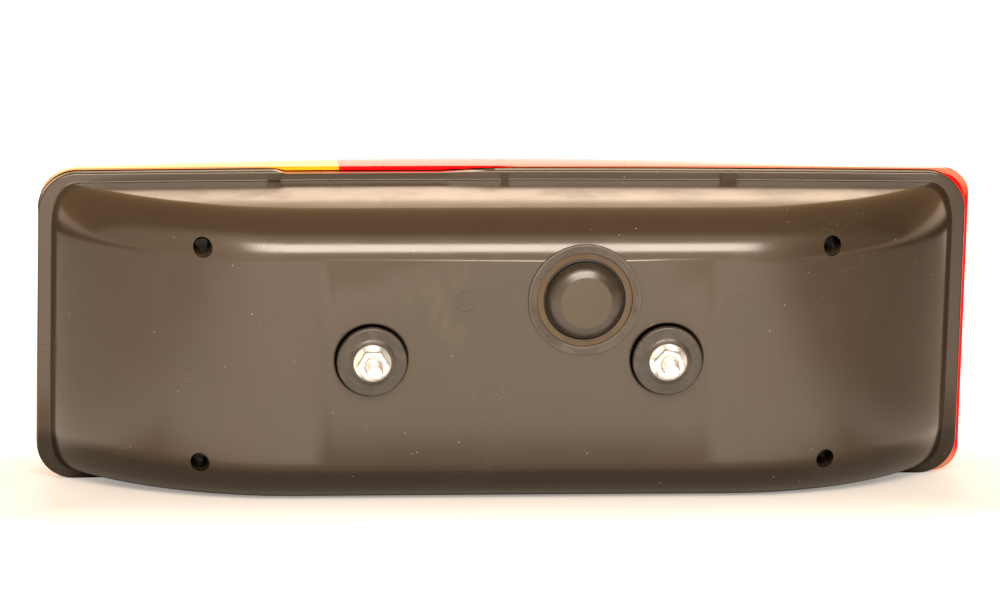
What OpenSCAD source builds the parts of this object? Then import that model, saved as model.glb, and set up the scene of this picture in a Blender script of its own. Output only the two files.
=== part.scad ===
// Rear combination lamp of a lorry, seen mostly from its back: a deep black housing with a
// stepped rim, two mounting studs and a blanked cable entry, closed in front by a domed lens.
// Frame: X along the lamp, +Y out through the lens, +Z up. The origin lies midway between
// the two studs, in the plane of the pad faces that meet the vehicle. Millimetres.

/* [Rim] */
// Length of the lamp over the rim
lamp_w = 486; // [470:1:500]
// Height of the lamp over the rim
lamp_h = 163.5; // [160:0.5:170]
// Height of the stud line above the middle of the rim
stud_rise = 2.3; // [0:0.1:3]
// Corner radius of the rim
corner_r = 20; // [16:0.5:24]
// Width of the ledge between the bowl and the rim's edge
ledge = 5; // [4.6:0.1:6]
// How far the middle of the rim stands forward of its ends
rim_bow = 7; // [4:0.5:9]
// Depth of the rim from its back face to the front of its lip
rim_t = 8; // [7:0.5:9]
// Thickness of the rim's back plate
plate_t = 2.4; // [2:0.1:3]
// Thickness of the rim's lip
lip_t = 1.8; // [1.4:0.1:2]

/* [Bowl] */
// Wall thickness of the housing
wall = 2.6; // [2:0.1:3]
// Depth of the bowl from the back panel to the ends of the rim
bowl_depth = 77; // [70:1:82]
// Length of the flat back panel
panel_w = 224; // [200:1:240]
// Height of the flat back panel
panel_h = 106; // [100:1:110]
// Depth of the rounded shoulder above and below the panel
shoulder_r = 24; // [18:1:28]
// Draft of the long walls in degrees
draft = 0.5; // [0.2:0.1:1]
// Corner radius of the flat back panel
back_corner_r = 3; // [2:0.5:5]
// Height of the panel's raised moulding insert mark
panel_step = 0.3; // [0.2:0.1:0.5]

/* [Mounting] */
// Distance between the two studs
stud_pitch = 152; // [146:1:156]
// Outer diameter of the studs' thread
stud_d = 8; // [8:1:10]
// Diameter of the studs' shank, and of the nuts' bore
shank_d = 7.2; // [6.8:0.1:7.4]
// Length of stud behind the pad faces
stud_out = 21; // [18:1:30]
// Diameter of the rubber pads
pad_d = 36; // [32:0.5:38]
// Thickness of the rubber pads
pad_t = 3.4; // [3:0.1:4]
// Height of the moulded pedestals under the pads
pedestal_h = 3.6; // [3:0.1:5]
// Diameter of the flared foot of the pedestals
pedestal_d = 41.6; // [41:0.1:44]
// Width across flats of the flange nuts
nut_flats = 14; // [13:1:16]
// Height of the flange nuts
nut_h = 8; // [6.5:0.5:10]
// Diameter of the nuts' collars
nut_collar_d = 19.2; // [18:0.2:21]
// How far the left and the right nut are turned, in degrees
nut_turn_left = 30; // [0:1:59]
nut_turn_right = 16; // [0:1:59]

/* [Lens screws] */
// Distance between the screw holes along the lamp
hole_pitch_x = 324; // [320:1:328]
// Distance between the screw holes up the lamp
hole_pitch_z = 113; // [111:0.5:115]
// How far the middle of the screw holes lies below the stud line
hole_drop = 0.6; // [0:0.1:2]
// Diameter of the screwdriver holes
access_d = 9.4; // [9:0.1:10]
// Wall of the screw towers
tower_wall = 2.2; // [1.8:0.1:2.4]
// Diameter of the lens screws
screw_d = 4; // [3.5:0.5:4.5]

/* [Cable entry] */
// Place of the cable entry along the lamp
entry_x = 33; // [31:0.1:35]
// Height of the cable entry above the stud line
entry_z = 31.2; // [30:0.1:34]
// Outer diameter of the entry's rubber seal
seal_d = 58.2; // [56:0.2:59]
// Inner diameter of the entry's rubber seal
seal_bore = 42.4; // [40:0.2:43]
// Diameter of the blanking plug's cap
plug_d = 40.2; // [38:0.2:41]
// Height of the cap above the seal's face
plug_rise = 7; // [5:0.5:9]

/* [Lens] */
// Wall thickness of the lens
lens_t = 2.6; // [2.2:0.1:3]
// Depth of the lens at its deepest place
lens_depth = 20; // [16:1:26]
// Depth of the lens at its ends
lens_edge = 4.5; // [4.2:0.1:6]
// Plane where the amber lens meets the red lens
lens_split = -86; // [-92:1:-82]
// How far the lens reaches past the rim at the amber end
lens_over_left = -0.4; // [-0.6:0.1:0.4]
// How far the lens reaches past the rim at the red end
lens_over_right = 2.8; // [2:0.1:3.2]
// How far the lens reaches past the rim above and below
lens_over_z = 0.6; // [0:0.1:1]
// Width of the clear reversing window
window_w = 88; // [80:1:92]
// Height of the clear reversing window and of the reflex reflector
window_h = 62; // [50:1:64]

/* [Reflector] */
// Wall thickness of the reflector
cup_t = 1.8; // [1.5:0.1:2]
// Height of the four cups
cup_h = 92; // [80:1:94]
// Focal length of the cups
cup_focus = 25; // [22:1:28]
// Distance between the back of the cups and the pad faces
cup_y = 38; // [36:1:40]
// Diameter of the bulb glasses
bulb_d = 25; // [20:1:26]
// Diameter of the bulb bases
base_d = 15; // [14:0.5:15]

/* [Hidden] */
$fn = 64;

mid_z = -stud_rise;
half_w = lamp_w / 2;
half_h = lamp_h / 2;
panel_y = pad_t + pedestal_h;
rim_y = panel_y + bowl_depth;
inner_y = panel_y + wall;
bead = 0.8;
fit = 0.05;

// Points round one ring: steps in a corner, and along a long edge
corner_steps = 6;
edge_steps = 10;
ring_n = 4 * (corner_steps + 1) + 2 * (edge_steps - 1);

// The rim is bent along the lamp: this is how far it stands forward at x
function bow(x) = rim_bow * (1 - pow(x / half_w, 2));

function corner(cx, cz, r, from) =
    [for (i = [0 : corner_steps])
        let (a = from + 90 * i / corner_steps) [cx + r * cos(a), cz + r * sin(a)]];

function long_edge(x_from, x_to, z) =
    [for (i = [1 : edge_steps - 1]) [x_from + (x_to - x_from) * i / edge_steps, z]];

function reversed(rows) = [for (i = [len(rows) - 1 : -1 : 0]) rows[i]];

// A rounded rectangle from x0 to x1 with its middle at mid_z, as the same number of
// points whatever its size; the two ends may have different corner radii
function outline(x0, x1, b, r0, r1) = concat(
    corner(x1 - r1, mid_z + b - r1, r1, 0),
    long_edge(x1 - r1, x0 + r0, mid_z + b),
    corner(x0 + r0, mid_z + b - r0, r0, 90),
    corner(x0 + r0, mid_z - b + r0, r0, 180),
    long_edge(x0 + r0, x1 - r1, mid_z - b),
    corner(x1 - r1, mid_z - b + r1, r1, 270));

// A ring lies on the bent surface, as far as its share of the bow says
function ring(a, b, r, y, share = 1) =
    [for (p = outline(-a, a, b, r, r)) [p[0], y + share * bow(p[0]), p[1]]];

// A ring at a distance inside the rim's edge
function rim_ring(inset, y) =
    ring(half_w - inset, half_h - inset, corner_r - inset, y);

// Sides of a loft, two triangles for each step along and round it
function loft_sides(count, closed = false) =
    [for (k = [0 : count - (closed ? 1 : 2)], i = [0 : ring_n - 1])
        let (j = (i + 1) % ring_n, m = (k + 1) % count)
        each [[k * ring_n + i, m * ring_n + j, m * ring_n + i],
              [k * ring_n + i, k * ring_n + j, m * ring_n + j]]];

// A curved cap is a row of strips that run straight up the lamp
function strip_cap(first, flip) =
    [for (i = [0 : ring_n / 2 - 2])
        let (a = first + i, b = first + i + 1,
             c = first + ring_n - 2 - i, d = first + ring_n - 1 - i)
        each flip ? [[a, b, c], [a, c, d]] : [[c, b, a], [d, c, a]]];

function flat_cap(first, flip) =
    [[for (i = [0 : ring_n - 1]) first + (flip ? ring_n - 1 - i : i)]];

// A shell through a row of rings, with both ends closed
module loft_shell(rings, curved_ends = false) {
    last = (len(rings) - 1) * ring_n;
    polyhedron(
        points = [for (r = rings) each r],
        faces = concat(
            curved_ends ? strip_cap(0, false) : flat_cap(0, true),
            loft_sides(len(rings)),
            curved_ends ? strip_cap(last, true) : flat_cap(last, false)),
        convexity = 6);
}

// A bar that runs round the lamp and back into itself
module loft_frame(rings) {
    polyhedron(points = [for (r = rings) each r], faces = loft_sides(len(rings), true),
        convexity = 6);
}

// Turns a shape drawn along +Z so that it points forward along +Y
module forward(x = 0, y = 0, z = 0) {
    translate([x, y, z]) rotate([-90, 0, 0]) children();
}

// Housing
// The back is swept: in plan it runs from the flat panel to the rim along one arc at each
// end, and the rounded shoulder above and below the panel follows that arc to the ends
end_run = half_w - ledge - panel_w / 2;
end_r = (pow(end_run, 2) + pow(bowl_depth, 2)) / (2 * bowl_depth);
shoulder_rise = half_h - ledge - panel_h / 2 - (bowl_depth - shoulder_r) * tan(draft);

// Half width where the plan's arc is f deep
function plan_half(f, inset) =
    panel_w / 2 + sqrt(max(0, pow(end_r - inset, 2) - pow(end_r - f, 2)));

// One corner of the bowl at depth d, from its end to its long wall: the depths of the two
// curves add up to d at every point
function bowl_corner(d, inset) =
    let (r = shoulder_r - inset, last = d < shoulder_r ? acos((shoulder_r - d) / r) : 90)
    [for (i = [0 : corner_steps])
        let (a = last * i / corner_steps)
        [plan_half(d + inset - shoulder_r + r * cos(a), inset),
         panel_h / 2 + (shoulder_rise - inset + max(0, d - shoulder_r) * tan(draft)) * sin(a)]];

function bowl_outline(c) =
    let (n = corner_steps, x = c[n][0], z = c[n][1])
    concat(
        [for (p = c) [p[0], mid_z + p[1]]],
        long_edge(x, -x, mid_z + z),
        [for (i = [n : -1 : 0]) [-c[i][0], mid_z + c[i][1]]],
        [for (p = c) [-p[0], mid_z - p[1]]],
        long_edge(-x, x, mid_z - z),
        [for (i = [n : -1 : 0]) [c[i][0], mid_z - c[i][1]]]);

function bowl_ring(t, inset) =
    let (d = inset + t * (1 - inset / bowl_depth))
    [for (p = bowl_outline(bowl_corner(d, inset)))
        [p[0], panel_y + d + d / bowl_depth * bow(p[0]), p[1]]];

// The surface of the back at a distance inside its outer side, as rings from the panel on
function bowl_rings(inset) = concat(
    [ring(panel_w / 2 + back_corner_r, panel_h / 2, back_corner_r, panel_y + inset, 0)],
    [for (t = depths) bowl_ring(t, inset)]);

// Depths of the rings below the panel: even turns round the shoulder, then even steps
shoulder_steps = 7;
wall_steps = 4;
shoulder_depths = [for (i = [1 : shoulder_steps])
    shoulder_r * (1 - cos(90 * i / shoulder_steps))];
wall_depths = [for (i = [1 : wall_steps])
    shoulder_r + (bowl_depth - shoulder_r) * i / wall_steps];
depths = concat(shoulder_depths, wall_depths);

rib_y = rim_y + 6;
floor_y = rim_y + plate_t;
lip_y = rim_y + rim_t;

housing_rings = concat(
    bowl_rings(0),
    [rim_ring(bead, rim_y), rim_ring(0, rim_y + bead), rim_ring(0, lip_y),
     rim_ring(lip_t, lip_y), rim_ring(lip_t, floor_y), rim_ring(ledge, floor_y),
     rim_ring(ledge, rib_y), rim_ring(ledge + wall, rib_y)],
    reversed(bowl_rings(wall)));

// Screw towers
tower_d = access_d + 2 * tower_wall;
tower_end = 70;
tower_floor = 3;
screw_places = [for (sx = [-1, 1], sz = [-1, 1]) 
    [sx * hole_pitch_x / 2, sz * hole_pitch_z / 2 - hole_drop]];

// Stud bosses inside
stud_sides = [-1, 1];
boss_d = 26;
boss_end = 19;
head_flats = 14;
head_t = 5;
head_y = boss_end - head_t;
bore_gap = 0.15;

// Posts that carry the reflector plate
carrier_y = rim_y;
post_d = 9;
divider_x = [lens_split, lens_split + 200];
middle_x = lens_split + 100;
post_z = 58;
post_places = [for (x = divider_x, s = [-1, 1]) [x, mid_z + s * post_z]];
post_screw_d = 3;

// Cable entry
entry_hole_d = seal_bore + 3.4;
entry_boss_d = seal_d - 2;
seal_y = panel_y - 2;

// Rim marks: a nib, a clip and a block at even spacing along the top ledge
mark_pitch = 117.5;
mark_t = 0.8;
block_w = 9.4;

module pedestal_outline() {
    foot_r = pedestal_d / 2;
    top_r = pad_d / 2 - 1.6;
    flare_r = foot_r - top_r;
    polygon(concat([[0, 0], [foot_r, 0]],
        [for (i = [1 : 6]) let (a = 90 * i / 6)
            [foot_r - flare_r * sin(a), pedestal_h * (1 - cos(a)) * 0.8]],
        [[top_r, pedestal_h], [0, pedestal_h]]));
}

module pedestal() {
    rotate([90, 0, 0]) rotate_extrude() pedestal_outline();
}

// The insert's mark runs along the panel and fades out towards both ends
module panel_mark() {
    run = panel_w / 2 - 2;
    fade = 14;
    translate([0, 0, mid_z - panel_h / 2])
        linear_extrude(panel_h)
            polygon([[-run, panel_y + 0.2], [-run + fade, panel_y - panel_step],
                [run - fade, panel_y - panel_step], [run, panel_y + 0.2]]);
}

module rim_marks() {
    foot_z = mid_z + half_h - ledge;
    for (k = [0, 1]) {
        w = k == 0 ? 6 : block_w;
        x = k * mark_pitch;
        translate([x, rim_y + bow(x) - mark_t, foot_z + 0.1])
            rotate([-90, 0, 0])
                linear_extrude(mark_t + 0.6)
                    polygon([[-w / 2, 0], [w / 2, 0], [w / 2 - 0.9, -ledge + 0.9],
                        [-w / 2 + 0.9, -ledge + 0.9]]);
    }
    translate([-mark_pitch - 0.5, rim_y + bow(mark_pitch) - 1.6, foot_z + 0.1])
        cube([1, 2, 3]);
}

// The lip is cut lower between two of the marks
module lip_notch() {
    x0 = -mark_pitch - 2;
    x1 = -2;
    top = mid_z + half_h;
    translate([0, floor_y + 0.6, 0])
        rotate([90, 0, 0]) translate([0, 0, -rim_t - rim_bow])
            linear_extrude(rim_t + rim_bow)
                polygon([[x0, top + 1], [x0 + 18, top - 1.7], [x1 - 34, top - 1.7],
                    [x1, top + 1]]);
}

// A sunk ring and a dot, where such housings carry their date insert
insert_x = -28;
insert_z = 30.4;
module date_insert() {
    forward(insert_x, panel_y - panel_step - 0.01, insert_z) {
        difference() {
            cylinder(d = 10.4, h = 0.35);
            translate([0, 0, -0.1]) cylinder(d = 8.6, h = 1);
        }
        cylinder(d = 5, h = 0.35);
    }
}

// Screw towers and posts grow out of the middle of the bowl's wall
module inner_pillars() {
    intersection() {
        union() {
            for (p = screw_places) forward(p[0], panel_y, p[1])
                cylinder(d = tower_d, h = tower_end - panel_y);
            for (p = post_places) forward(p[0], panel_y, p[1])
                cylinder(d = post_d, h = carrier_y - panel_y);
        }
        loft_shell(bowl_rings(wall / 3), curved_ends = true);
    }
}

module housing() {
    color("#3a332c")
    difference() {
        union() {
            loft_shell(housing_rings);
            panel_mark();
            rim_marks();
            for (s = stud_sides) translate([s * stud_pitch / 2, panel_y - panel_step + 0.3, 0])
                pedestal();
            for (s = stud_sides) forward(s * stud_pitch / 2, panel_y + 1, 0)
                cylinder(d = boss_d, h = boss_end - panel_y - 1);
            inner_pillars();
            forward(entry_x, panel_y, entry_z) cylinder(d = entry_boss_d, h = wall + 4);
        }
        date_insert();
        lip_notch();
        for (s = stud_sides) {
            forward(s * stud_pitch / 2, 0, 0)
                cylinder(d = shank_d + 2 * bore_gap, h = boss_end + 1);
            translate([s * stud_pitch / 2 - head_flats / 2 - fit, head_y, -head_flats / 2 - fit])
                cube([head_flats + 2 * fit, head_t + 1, head_flats + 2 * fit]);
        }
        for (p = screw_places) {
            forward(p[0], 0, p[1]) cylinder(d = access_d, h = tower_end - tower_floor);
            forward(p[0], 0, p[1]) cylinder(d = screw_d + 0.6, h = tower_end + 1);
        }
        for (p = post_places) forward(p[0], carrier_y - 14, p[1])
            cylinder(d = post_screw_d, h = 15);
        forward(entry_x, 0, entry_z) cylinder(d = entry_hole_d, h = panel_y + wall + 6);
    }
}

// Lens
lens_x0 = -half_w - lens_over_left;
lens_x1 = half_w + lens_over_right;
lens_half_h = half_h + lens_over_z;
lens_r_left = corner_r;
lens_r_right = 14;
lens_draft = 1;
lens_peak_x = -25;
lens_gap = 0.2;
web_t = 2;
lens_curve = 0.0004;

// Depth of the lens at x: a shallow arc that eases into the even edge at the ends
function lens_rise(x) =
    let (g = lens_depth - lens_edge - lens_curve * pow(x - lens_peak_x, 2))
    lens_edge + (g + sqrt(g * g + 16)) / 2;

// A ring of the lens at a share of its depth, drawn in by an inset and set back
function lens_ring(share, inset, back = 0) =
    [for (p = outline(lens_x0 + inset, lens_x1 - inset, lens_half_h - inset,
            lens_r_left - inset / 2, lens_r_right - inset / 2))
        [p[0], lip_y + lens_gap + bow(p[0]) + share * lens_rise(p[0]) - back, p[1]]];

function lens_rings(t) = [
    lens_ring(1, t + 7, t), lens_ring(0.97, t + 4, t), lens_ring(0.5, t + lens_draft),
    lens_ring(0, t), lens_ring(0, 0),
    lens_ring(0.7, lens_draft), lens_ring(0.88, 2), lens_ring(0.97, 4), lens_ring(1, 7)];

function frame_rings(inset0, inset1, y0, y1) = [
    rim_ring(inset0, y0), rim_ring(inset0, y1), rim_ring(inset1, y1), rim_ring(inset1, y0)];

gasket_t = 2;
gasket_top = floor_y + gasket_t;

module lens_shell(t) {
    loft_shell(lens_rings(t), curved_ends = true);
}

// The tongue stands on the gasket, and a web joins it to the lens wall
module lens_tongue() {
    outer = lip_t + 0.8;
    inner = ledge - 0.6;
    loft_frame([rim_ring(outer, gasket_top), rim_ring(outer, lip_y + lens_gap),
        lens_ring(0, 0.6), lens_ring(0, 0.6, -web_t),
        rim_ring(inner, lip_y + lens_gap + web_t), rim_ring(inner, gasket_top)]);
}

module lens_post(p) {
    top = lip_y + bow(p[0]) + lens_rise(p[0]) - lens_t / 2;
    forward(p[0], tower_end, p[1]) cylinder(d = 10, h = top - tower_end);
}

module lens_half(x0, x1) {
    intersection() {
        union() {
            lens_shell(lens_t);
            lens_tongue();
            for (p = screw_places) lens_post(p);
        }
        translate([x0, 0, -lamp_h]) cube([x1 - x0, 2 * rim_y, 2 * lamp_h]);
    }
}

module lens_screw_holes() {
    for (p = screw_places) forward(p[0], tower_end - 1, p[1]) cylinder(d = screw_d, h = 15);
}

// Windows in the front of the red lens
clear_x = (middle_x + divider_x[1]) / 2;
reflex_x = (divider_x[0] + middle_x) / 2;
module window(x, gap) {
    translate([x - window_w / 2 - gap, lip_y - 20, mid_z - window_h / 2 - gap])
        cube([window_w + 2 * gap, 60, window_h + 2 * gap]);
}

module amber_lens() {
    color("#ff8a10")
    difference() {
        lens_half(lens_x0 - 1, lens_split);
        lens_screw_holes();
    }
}

module red_lens() {
    color("#d00808")
    difference() {
        lens_half(lens_split, lens_x1 + 1);
        lens_screw_holes();
        window(clear_x, fit);
        window(reflex_x, fit);
    }
}

module reversing_window() {
    color("#e8eef0")
    intersection() {
        lens_shell(lens_t);
        window(clear_x, 0);
    }
}

module reflex_reflector() {
    color("#a80404")
    intersection() {
        lens_shell(lens_t + 2);
        window(reflex_x, 0);
    }
}

module lens_gasket() {
    color("#1c1c1c")
    loft_frame(frame_rings(lip_t + 0.2, ledge - 0.2, floor_y, gasket_top));
}

// Self-tapping screws that draw the lens onto its gasket from behind
module lens_screws() {
    head_d = access_d - 1.4;
    seat = tower_end - tower_floor;
    color("#c9c9c9")
    for (p = screw_places) {
        forward(p[0], seat - 3, p[1])
            difference() {
                cylinder(d1 = head_d - 1, d2 = head_d, h = 3);
                for (a = [0, 90]) rotate(a) translate([-2.4, -0.5, -0.1]) cube([4.8, 1, 1.5]);
            }
        forward(p[0], seat - 0.5, p[1]) cylinder(d = screw_d - 0.1, h = 15);
    }
}

// Mounting hardware
// The thread's full diameter starts where the nut ends: inside the nut, the stud and the
// bore are drawn at one diameter between crest and root
hub_t = 0.8;
hub_d = 25;
thread_from = hub_t + nut_h + 0.5;
module stud(side) {
    tip = 1.4;
    color("#d8d8d6")
    translate([side * stud_pitch / 2, 0, 0]) {
        translate([-head_flats / 2, head_y, -head_flats / 2])
            cube([head_flats, head_t - 0.5, head_flats]);
        forward(0, -stud_out + tip, 0) cylinder(d = stud_d, h = stud_out - tip - thread_from);
        forward(0, -thread_from - 0.5, 0) cylinder(d = shank_d, h = head_y + thread_from + 1);
        forward(0, -stud_out, 0)
            cylinder(d1 = stud_d - 1.8, d2 = stud_d, h = tip + 0.01);
    }
}

module pad(side) {
    r = pad_d / 2;
    soft = 0.7;
    color("#2b2826")
    translate([side * stud_pitch / 2, pad_t, 0])
        rotate([90, 0, 0]) rotate_extrude()
            polygon([[shank_d / 2 + bore_gap, 0], [r - soft, 0], [r, soft], [r, pad_t - soft],
                [r - soft, pad_t], [hub_d / 2, pad_t], [hub_d / 2 - 3, pad_t + hub_t],
                [shank_d / 2 + bore_gap, pad_t + hub_t]]);
}

module flange_nut(side, turn) {
    collar_t = 1.4;
    cone_h = 1.4;
    corners = nut_flats / cos(30);
    color("#dcdcd8")
    translate([side * stud_pitch / 2, -hub_t, 0]) rotate([90, 0, 0])
        difference() {
            union() {
                cylinder(d = nut_collar_d, h = collar_t);
                translate([0, 0, collar_t])
                    cylinder(d1 = nut_collar_d, d2 = nut_flats, h = cone_h);
                intersection() {
                    rotate(turn) cylinder(d = corners, h = nut_h, $fn = 6);
                    union() {
                        cylinder(d = corners + 1, h = nut_h - 1);
                        translate([0, 0, nut_h - 1])
                            cylinder(d1 = corners + 1, d2 = nut_flats - 0.6, h = 1);
                    }
                }
            }
            translate([0, 0, -1]) cylinder(d = shank_d + fit, h = nut_h + 2);
        }
}

// Cable entry
seal_ridge = 0.35;
ledge_drop = 1.3;
module entry_seal() {
    r = seal_d / 2;
    bore = seal_bore / 2;
    neck = entry_hole_d / 2 - fit;
    inside = panel_y + wall + 4;
    color("#45403b")
    translate([entry_x, 0, entry_z]) rotate([-90, 0, 0]) rotate_extrude()
        polygon(concat(
            [[bore, seal_y + ledge_drop], [r - 4.6, seal_y + ledge_drop], [r - 4.4, seal_y]],
            [for (i = [0 : 2]) each [[r - 3.6 + i * 1.1, seal_y],
                [r - 3.3 + i * 1.1, seal_y - seal_ridge], [r - 3.0 + i * 1.1, seal_y]]],
            [[r - 0.5, seal_y], [r, seal_y + 0.5], [r, panel_y - panel_step],
             [neck, panel_y - panel_step], [neck, inside], [neck + 1.6, inside + 0.8],
             [neck, inside + 2.6], [bore, inside + 2.6]]));
}

module blanking_plug() {
    r = plug_d / 2;
    top = seal_y - plug_rise;
    flat_r = 13.4;
    grip = seal_bore / 2 - fit;
    color("#2e2a27")
    translate([entry_x, 0, entry_z]) rotate([-90, 0, 0]) rotate_extrude()
        polygon([[0, top], [flat_r, top], [flat_r + 1.2, top + 0.3], [r - 2.2, top + 3.4],
            [r - 0.6, top + 5], [r, top + 6.6], [r, seal_y + 2.4], [grip, seal_y + 2.8],
            [grip, panel_y + wall + 5], [grip - 2, panel_y + wall + 5], [grip - 2, seal_y + 3.6],
            [r - 3, top + 6], [flat_r, top + 2.2], [0, top + 2.2]]);
}

// Reflector
chambers = [[-half_w + 38, divider_x[0] - 2], [divider_x[0] + 2, middle_x - 2],
    [middle_x + 2, divider_x[1] - 2], [divider_x[1] + 2, half_w - 25]];
cup_out_left = 38;
cup_out_right = 44;
cup_centres = [-panel_w / 2 - cup_out_left, (divider_x[0] + middle_x) / 2,
    (middle_x + divider_x[1]) / 2, panel_w / 2 + cup_out_right];
plate_inset = ledge + wall + 1.8;
plate_corner = 17;
holder_hole_d = 24;
cup_far = carrier_y + plate_t;

// A parabola turned about its axis, from the vertex at the back to the front plate
module cup_form(grow) {
    steps = 9;
    depth = cup_far - cup_y + 1;
    rotate([-90, 0, 0]) rotate_extrude()
        polygon(concat([[0, -grow]],
            [for (i = [0 : steps]) let (t = depth * pow(i / steps, 2))
                [sqrt(4 * cup_focus * t) + grow, t - grow * (1 - i / steps)]],
            [[0, depth]]));
}

module cup_box(c, grow) {
    translate([c[0] - grow, cup_y - 10, mid_z - cup_h / 2 - grow])
        cube([c[1] - c[0] + 2 * grow, cup_far - cup_y + 20, cup_h + 2 * grow]);
}

module cup_solid(i, grow) {
    intersection() {
        cup_box(chambers[i], grow);
        translate([cup_centres[i], cup_y, mid_z]) cup_form(grow);
    }
}

module reflector() {
    a = half_w - plate_inset;
    b = half_h - plate_inset;
    color("#c8ccd0")
    difference() {
        union() {
            translate([0, carrier_y, mid_z]) rotate([-90, 0, 0])
                linear_extrude(2)
                    difference() {
                        square([2 * a, 2 * b], center = true);
                        for (sx = [-1, 1], sz = [-1, 1])
                            translate([sx * a, sz * b]) rotate(45)
                                square(plate_corner, center = true);
                    }
            intersection() {
                for (i = [0 : 3]) cup_solid(i, cup_t);
                translate([-lamp_w, 0, -lamp_h]) cube([2 * lamp_w, carrier_y + 1, 2 * lamp_h]);
            }
        }
        for (i = [0 : 3]) {
            cup_solid(i, 0);
            forward(cup_centres[i], cup_y - 5, mid_z) cylinder(d = holder_hole_d, h = 12);
        }
        for (p = screw_places) forward(p[0], carrier_y - 5, p[1]) cylinder(d = 12, h = 12);
        for (p = post_places) forward(p[0], carrier_y - 1, p[1])
            cylinder(d = post_screw_d + 0.4, h = 5);
    }
}

module reflector_screws() {
    color("#c9c9c9")
    for (p = post_places) {
        forward(p[0], carrier_y - 10, p[1]) cylinder(d = post_screw_d - 0.1, h = 12.2);
        forward(p[0], carrier_y + 2, p[1]) cylinder(d1 = 6.4, d2 = 4.4, h = 2);
    }
}

// Bulb holders and bulbs
holder_y = 25;
holder_floor = 1.5;
holder_d = holder_hole_d - 0.4;
module holder(i) {
    color("#e6e2d8")
    forward(cup_centres[i], 0, mid_z)
        difference() {
            union() {
                translate([0, 0, holder_y]) cylinder(d = holder_d, h = cup_y + 4 - holder_y);
                translate([0, 0, cup_y - cup_t - 3]) cylinder(d = holder_d + 5, h = 3);
            }
            translate([0, 0, holder_y + holder_floor])
                cylinder(d = base_d + 0.2, h = cup_y + 10 - holder_y);
        }
}

module bulb(i, tint) {
    seat = holder_y + holder_floor;
    neck = base_d / 2 - 1.2;
    glass = bulb_d / 2;
    mid = cup_y + cup_focus * 0.7 + 2;
    color(tint)
    forward(cup_centres[i], 0, mid_z)
        rotate_extrude()
            polygon(concat([[0, seat], [base_d / 2 - 1, seat], [base_d / 2, seat + 1],
                [base_d / 2, cup_y + 3], [neck, cup_y + 3.6], [neck, mid - glass + 1.5]],
                [for (a = [-55 : 14.5 : 90]) [glass * cos(a), mid + glass * sin(a)]]));
}

// Terminal block and contact strips, riveted to the backs of the holders
strip_t = 0.8;
strip_y = holder_y - strip_t;
strip_w = 5;
near_line = -14;
far_line = -20;
block_x = 13;
block_z = -34;
slot_pitch = 9;
module terminal_block() {
    w = 5 * slot_pitch + 5;
    color("#2c2c30")
    translate([block_x - w / 2, inner_y, block_z - 8])
        difference() {
            cube([w, strip_y - inner_y, 16]);
            for (k = [-2 : 2])
                translate([w / 2 + k * slot_pitch, 3, -1]) cube([3.4, 5.5, 8], center = false);
        }
}

module bar(x0, x1, z0, z1) {
    translate([min(x0, x1) - strip_w / 2, strip_y, min(z0, z1) - strip_w / 2])
        cube([abs(x1 - x0) + strip_w, strip_t, abs(z1 - z0) + strip_w]);
}

// A live strip drops from its holder to its own line, and runs along it to its slot
module live_strip(i, slot, line) {
    x = cup_centres[i];
    s = block_x + slot * slot_pitch;
    color("#c8a048") {
        bar(x, x, mid_z - 8, line);
        bar(x, s, line, line);
        bar(s, s, line, block_z);
    }
}

module ground_strip() {
    color("#c8a048") {
        bar(cup_centres[0] - 6, cup_centres[3] + 6, mid_z, mid_z);
        bar(block_x, block_x, mid_z, block_z);
    }
}

housing();
amber_lens();
red_lens();
reversing_window();
reflex_reflector();
lens_gasket();
lens_screws();
stud(-1);  // left_stud
stud(1);  // right_stud
pad(-1);  // left_pad
pad(1);  // right_pad
flange_nut(-1, nut_turn_left);  // left_nut
flange_nut(1, nut_turn_right);  // right_nut
entry_seal();
blanking_plug();
reflector();
reflector_screws();
holder(0);  // indicator_holder
holder(1);  // tail_stop_holder
holder(2);  // reversing_holder
holder(3);  // fog_holder
bulb(0, "#f0a030");  // indicator_bulb
bulb(1, "#e8e8e4");  // tail_stop_bulb
bulb(2, "#e8e8e4");  // reversing_bulb
bulb(3, "#e8e8e4");  // fog_bulb
terminal_block();
ground_strip();
live_strip(0, -2, far_line);  // indicator_strip
live_strip(1, -1, near_line);  // tail_stop_strip
live_strip(2, 1, near_line);  // reversing_strip
live_strip(3, 2, far_line);  // fog_strip
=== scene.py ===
"""Looks of a lorry's rear combination lamp, seen from its back as it stands on a white table.

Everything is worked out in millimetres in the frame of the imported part: X along the lamp, +Y out
through the lens, +Z up, origin midway between the studs in the plane of the pad faces.
"""
import math

import bmesh
import bpy
import numpy as np
from mathutils import Euler, Matrix, Vector


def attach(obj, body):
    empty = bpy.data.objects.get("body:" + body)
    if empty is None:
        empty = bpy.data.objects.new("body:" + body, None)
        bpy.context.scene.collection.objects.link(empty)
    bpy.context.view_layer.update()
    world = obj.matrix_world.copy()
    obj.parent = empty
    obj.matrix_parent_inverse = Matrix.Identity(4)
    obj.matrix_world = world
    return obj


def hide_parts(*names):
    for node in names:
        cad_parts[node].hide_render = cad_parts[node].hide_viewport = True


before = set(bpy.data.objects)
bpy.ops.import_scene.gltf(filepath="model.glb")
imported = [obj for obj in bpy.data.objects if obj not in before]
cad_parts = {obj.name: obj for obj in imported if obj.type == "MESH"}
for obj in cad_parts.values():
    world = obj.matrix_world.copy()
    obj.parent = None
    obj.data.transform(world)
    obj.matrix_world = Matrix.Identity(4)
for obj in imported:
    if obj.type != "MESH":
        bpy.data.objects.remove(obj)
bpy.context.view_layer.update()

MM = 0.001
TAU = 2 * math.pi
QUARTER = TAU / 4

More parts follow.
